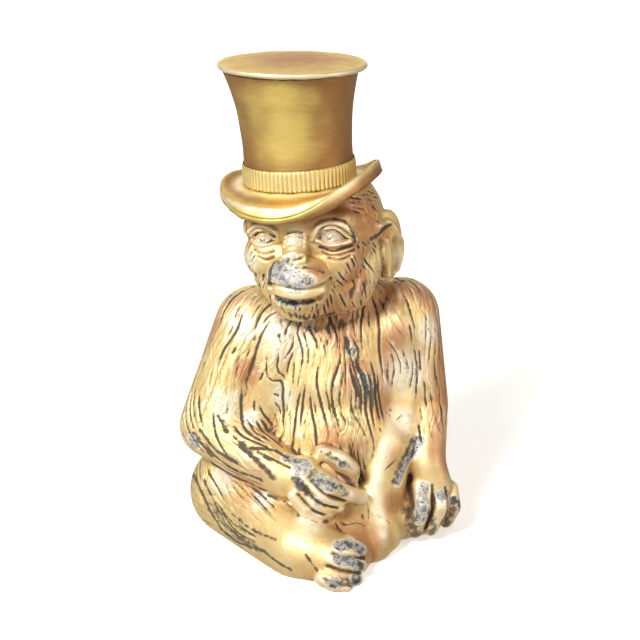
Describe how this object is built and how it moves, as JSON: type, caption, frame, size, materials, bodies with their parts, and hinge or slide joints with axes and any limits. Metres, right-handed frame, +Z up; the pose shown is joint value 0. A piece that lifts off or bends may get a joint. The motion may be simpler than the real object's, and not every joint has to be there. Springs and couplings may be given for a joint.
{
  "type": "animal figurine",
  "caption": "Seated monkey in a tall top hat, a worn gilt white-metal casting about 150 mm high; the hat lifts off a small well in the head",
  "frame": {"origin": "on the surface the figure rests on, under the middle of the figure", "axes": "+Z up; -Y is the front, the side the picture is taken from; +X is the viewer's right, which is the monkey's left"},
  "size_m": [0.0907, 0.0972, 0.1518],
  "materials": {
    "gilt_fur": "worn gold paint over grey white metal, dark patina in the chiselled fur",
    "gilt_hat": "worn gold paint, smoother than the fur",
    "plate_steel": "dull",
    "felt": "matte"
  },
  "bodies": {
    "figure": {"trunk": "gilt_fur", "head": "gilt_fur", "right_arm": "gilt_fur", "left_arm": "gilt_fur", "right_leg": "gilt_fur", "left_leg": "gilt_fur", "base_plate": "plate_steel", "base_screws": "plate_steel", "felt_pad": "felt"},
    "hat": {"hat_crown": "gilt_hat", "hat_top": "gilt_hat", "hat_band": "gilt_hat", "hat_brim": "gilt_hat", "hat_spigot": "gilt_hat"}
  },
  "joints": [
    {"name": "hat_lift", "type": "slide", "parent": "figure", "child": "hat", "axis": [-0.0611, 0, 0.9981], "range_m": [0, 0.045]}
  ]
}
